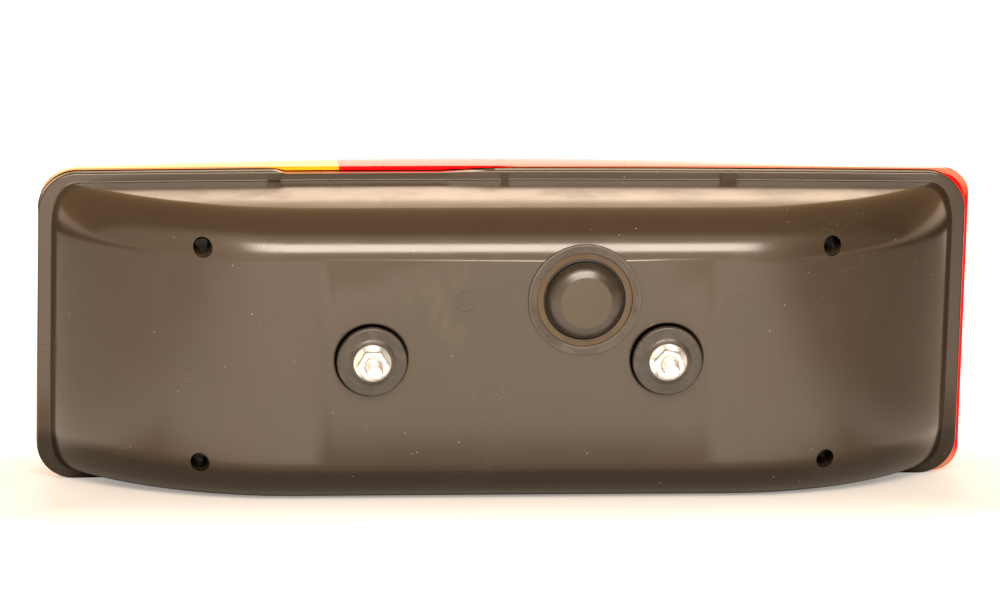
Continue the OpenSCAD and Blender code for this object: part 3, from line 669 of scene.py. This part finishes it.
class Finish:
    """A material under construction: its tree, its main shader, and its place in the object in
    millimetres, whole and as x, y and z. Other settings are passed by their socket's name."""

    def __init__(self, name, colour, roughness=0.4, metallic=0.0, **fixed):
        self.material = bpy.data.materials.new(name)
        self.material.use_nodes = True
        self.tree = self.material.node_tree
        self.shader = self.tree.nodes["Principled BSDF"]
        self.set("Base Color", (*colour, 1.0))
        self.set("Roughness", roughness)
        self.set("Metallic", metallic)
        for key, value in fixed.items():
            self.set(key.replace("_", " "), value)
        metres = self.tree.nodes.new("ShaderNodeTexCoord").outputs["Object"]
        scaled = self.node("ShaderNodeVectorMath", {"operation": "SCALE"}, Vector=metres,
                           Scale=1 / MM)
        self.place = scaled.outputs[0]
        split = self.node("ShaderNodeSeparateXYZ", {}, Vector=self.place)
        self.x, self.y, self.z = (Value(self.tree, o) for o in split.outputs)

    def set(self, name, value):
        """Puts a value, colour or socket into the main shader."""
        plug(self.tree, self.shader.inputs[name], value)

    def node(self, kind, settings, **inputs):
        """A node of a kind, with its settings made first and then its sockets filled."""
        node = self.tree.nodes.new(kind)
        for key, value in settings.items():
            setattr(node, key, value)
        for key, value in inputs.items():
            plug(self.tree, node.inputs[key], value)
        return node

    def noise(self, size, detail=3.0, roughness=0.5, stretch=None):
        """Fractal noise whose grains are about size millimetres across, from 0 to 1."""
        place = self.place
        if stretch:
            place = self.node("ShaderNodeVectorMath", {"operation": "MULTIPLY"}, Vector=place)
            place.inputs[1].default_value = stretch
            place = place.outputs[0]
        made = self.node("ShaderNodeTexNoise", {}, Vector=place, Scale=1.0 / size, Detail=detail,
                         Roughness=roughness)
        return Value(self.tree, made.outputs[0])

    def specks(self, size, radius):
        """1 inside scattered dots about size millimetres apart, 0 between them. Their radius is a
        share of the size."""
        made = self.node("ShaderNodeTexVoronoi", {"feature": "F1"}, Vector=self.place,
                         Scale=1.0 / size, Randomness=1.0)
        return 1 - Value(self.tree, made.outputs["Distance"]).span(radius * 0.5, radius)

    def radius(self, x0, z0, folded=False):
        """Distance from an axis along Y, or from its mirrored copies on all four sides."""
        x, z = (self.x.math("ABSOLUTE"), self.z.math("ABSOLUTE")) if folded else (self.x, self.z)
        return ((x - x0) * (x - x0) + (z - z0) * (z - z0)).math("SQRT")

    def mix(self, a, b, share):
        """A colour at a share of the way from a to b; each is a colour or a socket."""
        made = self.node("ShaderNodeMix", {"data_type": "RGBA"})
        for slot, value in zip((made.inputs[6], made.inputs[7]), (a, b)):
            plug(self.tree, slot, (*value, 1.0) if isinstance(value, tuple) else value)
        plug(self.tree, made.inputs[0], share)
        return made.outputs[2]

    def bump(self, height, strength, distance):
        """Adds relief over what is there already; the distance is in metres."""
        made = self.node("ShaderNodeBump", {}, Height=height, Strength=strength, Distance=distance)
        if self.shader.inputs["Normal"].is_linked:
            earlier = self.shader.inputs["Normal"].links[0].from_socket
            self.tree.links.new(earlier, made.inputs["Normal"])
        self.set("Normal", made.outputs[0])


def dress(piece, finish):
    """Gives a piece its one finish."""
    piece.data.materials.clear()
    piece.data.materials.append(finish.material)


# The first two colours are painted shade in hollows and gaps
HOLLOW_SHADE_BLACK = (0.001, 0.001, 0.001)
PAINTED_GAP_SHADE = (0.002, 0.002, 0.002)
HOUSING_GREY = (0.042, 0.029, 0.0185)
HOUSING_OLIVE = (0.037, 0.028, 0.0135)
HOUSING_DARK = (0.022, 0.014, 0.008)
# Painted shade for the lower shoulder, which faces down
HOUSING_UNDERSIDE_SHADE = (0.013, 0.0095, 0.006)
HOUSING_FILM = (0.12, 0.10, 0.08)
HOUSING_DUST = (0.55, 0.46, 0.36)


def forward_of_rim(f):
    """Depth of a place, less the rim's bow, so that it is the same along a whole edge."""
    return f.y - BOW + f.x * f.x * (BOW / HALF_W ** 2)


def housing_colour(f, smear, film, scratch):
    """Cloudy black, olive to the right of the flow mark and darker towards the red end, with
    painted shade on the lower shoulder, and a film, dust and scratches."""
    x, z = f.x, f.z
    drift = f.noise(45, 2) - 0.5
    olive = (x + drift * 30).span(-72, -60) * (1 - (x + drift * 60).span(20, 90))
    olive = olive * (1 - (z - drift * 30).math("ABSOLUTE").span(34, 60)) * 0.8
    colour = f.mix(HOUSING_GREY, HOUSING_OLIVE, olive)
    dark = x.span(130, 215) * 0.7 + f.noise(70, 3, 0.5).span(0.5, 0.75) * 0.2
    colour = f.mix(colour, HOUSING_DARK, dark.math("MINIMUM", 1.0))
    # Painted shade: the lower shoulder is darkened where it faces down
    colour = f.mix(colour, HOUSING_UNDERSIDE_SHADE, (0.0 - z).span(55, 62) * 0.9)
    filmed = (smear * 0.16 + film * 0.14).math("MINIMUM", 1.0)
    colour = f.mix(colour, HOUSING_FILM, filmed)
    dust = f.specks(9.0, 0.040) + f.specks(5.3, 0.030) * f.noise(30, 2).span(0.45, 0.6)
    return f.mix(colour, HOUSING_DUST, (dust * 0.7 + scratch * 0.12).math("MINIMUM", 1.0))


def housing_hollow_shade(f):
    """Painted shade: 1 on the walls of the deep screwdriver ways, in the slit under each pad's edge
    and in the seam behind the lens, which all lie in the dark; there the finish is painted black
    and dull."""
    way = 1 - f.radius(WAY_X, WAY_Z, folded=True).span(WAY_R, WAY_R + 0.3)
    way = way * f.y.span(12, 19) * (1 - f.y.span(TOWER_Y1, TOWER_Y1 + 2))
    pad_edge = f.radius(STUD_X, 0.0, folded=True)
    slit = (1 - pad_edge.span(18.4, 19.6)) * (1 - f.y.span(PANEL_Y + 1, PANEL_Y + 2))
    seam = forward_of_rim(f).span(LIP_Y - 3.6, LIP_Y - 2.8)
    return (way + slit + seam).math("MINIMUM", 1.0)


def housing_finish():
    """Glossy black plastic: a flow mark, cloudy patches, wiped and dusty places, and scratches."""
    f = Finish("glossy_black_moulding", HOUSING_GREY, 0.2)
    # A wiped smear beside the date insert, and a film that gathers in soft patches
    smear = f.noise(16, 3, 0.55, (1.0, 1.0, 0.5)).span(0.48, 0.62)
    smear = smear * (1 - f.radius(INSERT_X - 2, INSERT_Z + 3.6).span(16, 34))
    film = f.noise(50, 4, 0.6).span(0.5, 0.72) * f.noise(1.6, 3, 0.7).span(0.4, 0.75)
    scratch = scratches(f, 0.42, 34.0) + scratches(f, 1.9, 27.0)
    # Painted shade: the hollows are made black, metallic and rough so that they show no light
    hollow = housing_hollow_shade(f)
    f.set("Base Color", f.mix(housing_colour(f, smear, film, scratch), HOLLOW_SHADE_BLACK, hollow))
    f.set("Metallic", hollow)
    rough = 0.17 + film * 0.10 + f.noise(25, 3).span(0.4, 0.75) * 0.05 + smear * 0.06
    f.set("Roughness", rough + hollow * 0.9)

    flow = 1 - (f.x + 66 + (f.noise(20, 1) - 0.5) * 3).math("ABSOLUTE").span(0.3, 2.2)
    flow = flow * f.z.span(-20, 30)
    f.bump(f.noise(38, 1), 0.25, 0.0006)
    f.bump(f.noise(0.9, 2, 0.5) * 0.4 + flow * 1.2 - scratch, 0.25, 0.00006)
    return f


def scratches(f, angle, size):
    """Thin, sparse strokes: the zero line of a noise stretched along one direction."""
    stretch = (0.12, 0.3, 1.0)
    turned_place = f.node("ShaderNodeVectorRotate", {"rotation_type": "Y_AXIS"},
                          Vector=f.place, Angle=angle).outputs[0]
    stretched = f.node("ShaderNodeVectorMath", {"operation": "MULTIPLY"}, Vector=turned_place)
    stretched.inputs[1].default_value = stretch
    made = f.node("ShaderNodeTexNoise", {}, Vector=stretched.outputs[0], Scale=2.2 / size,
                  Detail=1.0)
    line = 1 - (Value(f.tree, made.outputs[0]) - 0.5).math("ABSOLUTE").span(0.0006, 0.002)
    return line * f.noise(size * 0.8, 2).span(0.66, 0.72)


def simple(name, colour, roughness=0.4, metallic=0.0, grain=2.0, strength=0.1, **fixed):
    """A finish with a little drift of colour and a fine grain."""
    f = Finish(name, colour, roughness, metallic, **fixed)
    drift = f.noise(grain * 8, 3)
    dark = tuple(c * 0.82 for c in colour)
    f.set("Base Color", f.mix(dark, colour, drift.span(0.3, 0.6)))
    f.set("Roughness", roughness * (0.8 + 0.4 * f.noise(grain * 3, 4)))
    f.bump(f.noise(grain, 3), strength, 0.00008)
    return f


# Painted reflection of the lip and painted shade, for the lens's back edge where the lip covers it
COVERED_LIP_REFLECTION = (0.85, 0.42, 0.2)
COVERED_EDGE_SHADE = (0.16, 0.09, 0.05)


def lens_finish(name, colour, face_glow, edge_glow):
    """Clear coloured acrylic. Its front has pillow optics under a glossy skin. Light through the
    lens is
    a painted glow: faint on the front, stronger on the sides, and deeper on the back edge, but for
    where the rim's lip covers it; there the colour is darkened with painted shade and the glow is a
    pale painted reflection of the lip."""
    pillow_w, pillow_h = 12, 9
    f = Finish(name, colour, 0.05, Transmission_Weight=0.5, IOR=1.16, Coat_Roughness=0.04,
               Emission_Strength=0.42)
    from_middle = (f.z - MID_Z).math("ABSOLUTE")
    edge = 1 - forward_of_rim(f).span(LIP_Y + 0.5, LIP_Y + 1.4)
    bare = f.x.span(NOTCH_X0 - 2.5, NOTCH_X0 + 3.5) * (1 - f.x.span(NOTCH_X1 - 12, NOTCH_X1 - 2))
    bare = bare.math("MAXIMUM", 1 - from_middle.span(66, 78))
    front = 1 - from_middle.span(68, 78)
    front = front * (1 - f.x.math("ABSOLUTE").span(226, 237)) * (1 - edge)
    face = f.mix(face_glow, tuple(c * 0.16 for c in face_glow), front)
    # Painted glow, with a painted reflection of the lip where it covers the back edge
    f.set("Emission Color", f.mix(face, f.mix(COVERED_LIP_REFLECTION, edge_glow, bare), edge))
    f.set("Coat Weight", front * 0.5)
    # Painted shade on the back edge where the lip covers it
    f.set("Base Color", f.mix(colour, COVERED_EDGE_SHADE, edge * (1 - bare)))
    pillows = (f.x * (math.pi / pillow_w)).math("SINE") * (f.z * (math.pi / pillow_h)).math("SINE")
    f.bump(pillows.math("ABSOLUTE") * front, 0.6, 0.0008)
    f.set("Roughness", 0.04 + f.noise(12, 3).span(0.5, 0.8) * 0.05)
    return f


def reflex_finish():
    """Corner-cube prisms: facets of a small grid under a smooth front."""
    # The prisms carry a faint painted red glow
    f = Finish("red_reflex_prisms", (0.62, 0.004, 0.004), 0.1, Emission_Strength=0.08)
    cells = f.node("ShaderNodeTexVoronoi", {"feature": "F1", "distance": "MANHATTAN"},
                   Vector=f.place, Scale=0.45, Randomness=0.0)
    f.bump(Value(f.tree, cells.outputs["Distance"]), 0.9, 0.0012)
    f.set("Roughness", 0.08 + f.noise(6, 2) * 0.08)
    f.set("Emission Color", (1.0, 0.0, 0.0, 1.0))
    return f


def seal_finish():
    """Grey ridged rubber with a brown film on its sunk inner ledge, and painted shade in its bore.
    """
    f = Finish("ridged_grey_rubber", (0.055, 0.046, 0.038), 0.42)
    r = f.radius(SEAL_X, SEAL_Z)
    ledge = (1 - r.span(24.2, 24.8)) * r.span(21.25, 21.6)
    brown = f.mix((0.066, 0.037, 0.011), (0.044, 0.026, 0.009), f.noise(7, 4).span(0.35, 0.7))
    grey = f.mix((0.05, 0.041, 0.034), (0.085, 0.073, 0.062), f.noise(14, 4).span(0.35, 0.7))
    grit = f.specks(2.6, 0.10) * f.noise(9, 2).span(0.5, 0.65)
    colour = f.mix(f.mix(grey, brown, ledge), (0.5, 0.42, 0.3), grit * 0.8)
    # Painted shade inside the bore
    inside = 1 - r.span(20.9, 21.3)
    f.set("Base Color", f.mix(colour, PAINTED_GAP_SHADE, inside))
    f.set("Roughness", 0.36 + 0.2 * f.noise(5, 3) + inside * 0.4)
    rings = (r * (TAU / RIDGE_PITCH)).math("SINE") * r.span(25.0, 25.4)
    f.bump(rings * 0.5 + f.noise(1.0, 3), 0.3, 0.0001)
    return f


def plug_finish():
    """Satin black plastic with a dull bloom on its flat top, a few short scratches and grit, and
    painted shade on its skirt in the gap to the ring.
    """
    f = Finish("satin_black_cap", (0.040, 0.031, 0.021), 0.3)
    r = f.radius(SEAL_X, SEAL_Z)
    flat = 1 - r.span(12.6, 13.8)
    bloom = f.noise(9, 4, 0.6).span(0.45, 0.7)
    colour = f.mix((0.026, 0.020, 0.014), (0.050, 0.038, 0.022), flat * 0.75 + bloom * 0.2)
    worn = scratches(f, 0.5, 16.0) * 0.6 + f.specks(4.0, 0.05) * 0.8
    colour = f.mix(colour, (0.3, 0.26, 0.2), worn)
    # Painted shade on the skirt, in the gap between the cap and the ring
    skirt = r.span(19.7, 20.05)
    f.set("Base Color", f.mix(colour, PAINTED_GAP_SHADE, skirt))
    f.set("Roughness", 0.26 + flat * 0.1 + bloom * 0.08 + skirt * 0.3)
    f.bump(f.noise(0.8, 3), 0.15, 0.00006)
    return f


def zinc_finish():
    """Bright zinc plate: pale, softly mirrored, with a fine grain and small stains."""
    pale, stained = (0.80, 0.80, 0.79), (0.52, 0.49, 0.43)
    f = Finish("bright_zinc_plate", pale, 0.34, 0.85)
    stain = f.noise(3.5, 4, 0.6).span(0.52, 0.78)
    f.set("Base Color", f.mix(pale, stained, stain * 0.5))
    f.set("Roughness", 0.26 + 0.16 * f.noise(1.6, 3) + stain * 0.1)
    f.bump(f.noise(0.5, 3, 0.6), 0.15, 0.00005)
    return f


def pad_finish():
    """Black rubber with faint moulded rings and a dusty bloom."""
    f = Finish("black_pad_rubber", (0.034, 0.028, 0.022), 0.4)
    r = f.radius(STUD_X, 0.0, folded=True)
    bloom = f.noise(6, 4, 0.6).span(0.4, 0.7)
    f.set("Base Color", f.mix((0.018, 0.014, 0.010), (0.044, 0.036, 0.028), bloom))
    f.set("Roughness", 0.32 + 0.2 * bloom)
    f.bump((r * 2.4).math("SINE") * 0.6 + f.noise(0.9, 3), 0.25, 0.00008)
    return f


# Build
housing = finish_housing(build_housing())
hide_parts("housing")
dress(housing, housing_finish())

PAST_END = 300.0
amber = lens_piece("amber_lens_shell", -PAST_END, LENS_SPLIT)
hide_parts("amber_lens")
dress(amber, lens_finish("amber_acrylic", (1.0, 0.34, 0.01), face_glow=(1.0, 0.5, 0.12),
                         edge_glow=(1.0, 0.2, 0.0)))
red = lens_piece("red_lens_shell", LENS_SPLIT, PAST_END, WINDOWS_X)
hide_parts("red_lens")
dress(red, lens_finish("red_acrylic", (0.9, 0.006, 0.006), face_glow=(1.0, 0.0, 0.0),
                       edge_glow=(1.0, 0.0, 0.0)))

zinc = zinc_finish()
rubber = pad_finish()
for side, word, turn in ((-1, "left", 0.0), (1, "right", math.radians(14))):
    x = side * STUD_X
    stud = thread_piece(word + "_threaded_stud", x)
    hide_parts(word + "_stud")
    dress(stud, zinc)
    nut = nut_piece(word + "_flange_nut", x, TAU / 12 + turn)
    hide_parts(word + "_nut")
    dress(nut, zinc)
    pad = pad_piece(word + "_rubber_pad", x)
    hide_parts(word + "_pad")
    dress(pad, rubber)

seal = seal_piece("entry_rubber_ring")
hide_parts("entry_seal")
dress(seal, seal_finish())
cap = plug_piece("domed_blanking_cap")
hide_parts("blanking_plug")
dress(cap, plug_finish())

# The solids that the scene shows as they are
CAD_LOOKS = {
    "reversing_window": simple("clear_acrylic", (0.92, 0.94, 0.95), 0.05, grain=4, strength=0.05,
                               Transmission_Weight=0.9, IOR=1.49),
    "reflex_reflector": reflex_finish(),
    "lens_gasket": simple("black_foam", (0.02, 0.02, 0.02), 0.8),
    "lens_screws": zinc, "reflector_screws": zinc,
    "reflector": simple("metallised_plastic", (0.86, 0.87, 0.88), 0.1, metallic=1.0, grain=6,
                        strength=0.05),
    "terminal_block": simple("black_block", (0.03, 0.03, 0.03), 0.5),
}
brass = simple("brass_strip", (0.78, 0.58, 0.26), 0.3, metallic=1.0)
for word in ("ground", "indicator", "tail_stop", "reversing", "fog"):
    CAD_LOOKS[word + "_strip"] = brass
holder_look = simple("off_white_holder", (0.78, 0.75, 0.68), 0.5)
clear_glass = simple("clear_bulb_glass", (0.95, 0.96, 0.96), 0.03, Transmission_Weight=0.95)
amber_glass = simple("amber_bulb_glass", (0.98, 0.5, 0.06), 0.05, Transmission_Weight=0.8)
for word in ("indicator", "tail_stop", "reversing", "fog"):
    CAD_LOOKS[word + "_holder"] = holder_look
    CAD_LOOKS[word + "_bulb"] = amber_glass if word == "indicator" else clear_glass
for node, finish in CAD_LOOKS.items():
    dress(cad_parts[node], finish)

for piece in (housing, amber, red, seal, cap):
    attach(piece, "root")
for word in ("left", "right"):
    for part in ("_threaded_stud", "_flange_nut", "_rubber_pad"):
        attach(bpy.data.objects[word + part], "root")

# Table, light and camera

# The lamp leans back by TILT, so the table slopes under it, through the lens's lower edge
TILT = math.radians(5.4)
FLOOR_Y, FLOOR_Z = 93.0, MID_Z - LENS_HALF_H - 0.1
TABLE_X, TABLE_FRONT, TABLE_BACK = 900.0, -1100.0, 1200.0


def floor_height(y):
    """Height of the table at depth y: a plane that rises towards the lamp's back by TILT."""
    return FLOOR_Z + (FLOOR_Y - y) * math.tan(TILT)


def shown_white(finish, seen_strength, mirrored_strength):
    """Adds white that the camera, clear plastic and mirrors see, and leaves the shadows on it."""
    path = finish.node("ShaderNodeLightPath", {}).outputs
    seen = Value(finish.tree, path["Is Camera Ray"])
    seen = seen.math("MAXIMUM", Value(finish.tree, path["Is Transmission Ray"]))
    strength = seen * seen_strength + Value(finish.tree, path["Is Glossy Ray"]) * mirrored_strength
    seen_colour, mirrored_colour = (1.0, 0.95, 0.89), (1.0, 0.88, 0.75)
    colour = finish.mix(seen_colour, mirrored_colour, path["Is Glossy Ray"])
    glow = finish.node("ShaderNodeEmission", {}, Color=colour, Strength=strength)
    both = finish.node("ShaderNodeAddShader", {})
    finish.tree.links.new(finish.shader.outputs[0], both.inputs[0])
    finish.tree.links.new(glow.outputs[0], both.inputs[1])
    out = finish.tree.nodes["Material Output"]
    finish.tree.links.new(both.outputs[0], out.inputs[0])


def table_look():
    """White paper: plain under and near the lamp, and shown ever whiter away from it."""
    f = Finish("white_paper", (0.55, 0.52, 0.49), 0.55, Specular_IOR_Level=0.1)
    beside = f.x.math("ABSOLUTE") - HALF_W
    away = beside.math("MAXIMUM", 0.0 - f.y).math("MAXIMUM", f.y - FLOOR_Y)
    # Mirrored, it is darker beside the lamp's ends, and brighter far behind the lens
    mirrored = 1 - f.x.span(220, 400) * 0.92 - (0.0 - f.x).span(230, 480) * 0.6
    mirrored = mirrored.math("MAXIMUM", f.y.span(420, 700) * 1.35)
    shown_white(f, 0.31 + away.span(-40, 130) * 0.72, away.span(0, 72) * mirrored * 2.0)
    f.bump(f.noise(9, 4, 0.6), 0.1, 0.0001)
    return f


corners = [(x, y, floor_height(y)) for x, y in (
    (-TABLE_X, TABLE_FRONT), (TABLE_X, TABLE_FRONT), (TABLE_X, TABLE_BACK), (-TABLE_X, TABLE_BACK))]
table = make_mesh("table", corners, [(0, 1, 2, 3)])
dress(table, table_look())


def area_light(name, place, aim, width, height, power, colour):
    """A rectangular lamp at a place that faces an aim, in millimetres and watts."""
    data = bpy.data.lights.new(name, "AREA")
    data.shape, data.size, data.size_y = "RECTANGLE", width * MM, height * MM
    data.energy, data.color = power, colour
    light = bpy.data.objects.new(name, data)
    bpy.context.scene.collection.objects.link(light)
    place, aim = Vector(place) * MM, Vector(aim) * MM
    light.location = place
    light.rotation_mode = "QUATERNION"
    light.rotation_quaternion = (aim - place).to_track_quat("-Z", "Y")


SOFTBOX_UP, SOFTBOX_AWAY = math.radians(35), 2200.0
softbox_place = (0, -SOFTBOX_AWAY * math.cos(SOFTBOX_UP), SOFTBOX_AWAY * math.sin(SOFTBOX_UP))
area_light("softbox", softbox_place, aim=(0, 0, 0), width=1500, height=800, power=68,
           colour=(1.0, 0.88, 0.74))

# The surroundings: a bright backdrop behind the lamp, a dim warm room over it, a bright wall before
# its back, and a little light from everywhere
BACKDROP_LIGHT, ROOM_LIGHT, FRONT_LIGHT = (3.0, 2.45, 1.95), (0.80, 0.46, 0.20), (2.4, 1.88, 1.42)
BASE_LIGHT = (0.045, 0.036, 0.028)
world = bpy.data.worlds.new("studio")
bpy.context.scene.world = world
world.use_nodes = True
sky = world.node_tree
split = sky.nodes.new("ShaderNodeSeparateXYZ")
sky.links.new(sky.nodes.new("ShaderNodeTexCoord").outputs["Generated"], split.inputs[0])
X, Y, Z = (Value(sky, o) for o in split.outputs)
# Degrees over the backdrop's foot, from 0 behind the lamp, over the top, to 180 before its back
height = Z.math("ARCTAN2", Y) * (180 / math.pi)
aside = (X - 0.12).math("ABSOLUTE").span(0.02, 0.10)
backdrop = (1 - height.span(16.5, 19.5)) * Z.span(-0.12, -0.02) * (1 - aside * 0.5)
room = (1 - height.span(20, 120)) * Z.span(-0.1, 0.0)
front = height.span(103, 128) * (1 - X.span(0.2, 0.7) * 0.85)
front = front * (1 - (0 - X).span(0.2, 0.8) * 0.45)
seen = Value(sky, sky.nodes.new("ShaderNodeLightPath").outputs["Is Camera Ray"])
mixed = sky.nodes.new("ShaderNodeCombineColor")
for slot, parts in enumerate(zip(BACKDROP_LIGHT, ROOM_LIGHT, FRONT_LIGHT, BASE_LIGHT)):
    light = backdrop * parts[0] + room * parts[1] + front * parts[2] + parts[3]
    # The camera sees plain white instead
    plug(sky, mixed.inputs[slot], light * (1 - seen) + seen)
plug(sky, sky.nodes["Background"].inputs[0], mixed.outputs[0])
sky.nodes["Background"].inputs[1].default_value = 1.0

bpy.context.scene.view_settings.view_transform = "Standard"

# The camera as fitted to the photograph, in millimetres and degrees
CAMERA_PLACE = (-377.130, -3191.054, 835.347)
CAMERA_TURN = (75.96592, -1.36793, -6.19811)
camera_data = bpy.data.cameras.new("camera")
camera_data.lens, camera_data.sensor_width = 234.0, 36.0
camera_data.clip_end = 100
camera = bpy.data.objects.new("camera", camera_data)
bpy.context.scene.collection.objects.link(camera)
camera_turn = Euler([math.radians(v) for v in CAMERA_TURN])
camera.matrix_world = Matrix.LocRotScale(Vector(CAMERA_PLACE) * MM, camera_turn, None)
bpy.context.scene.camera = camera
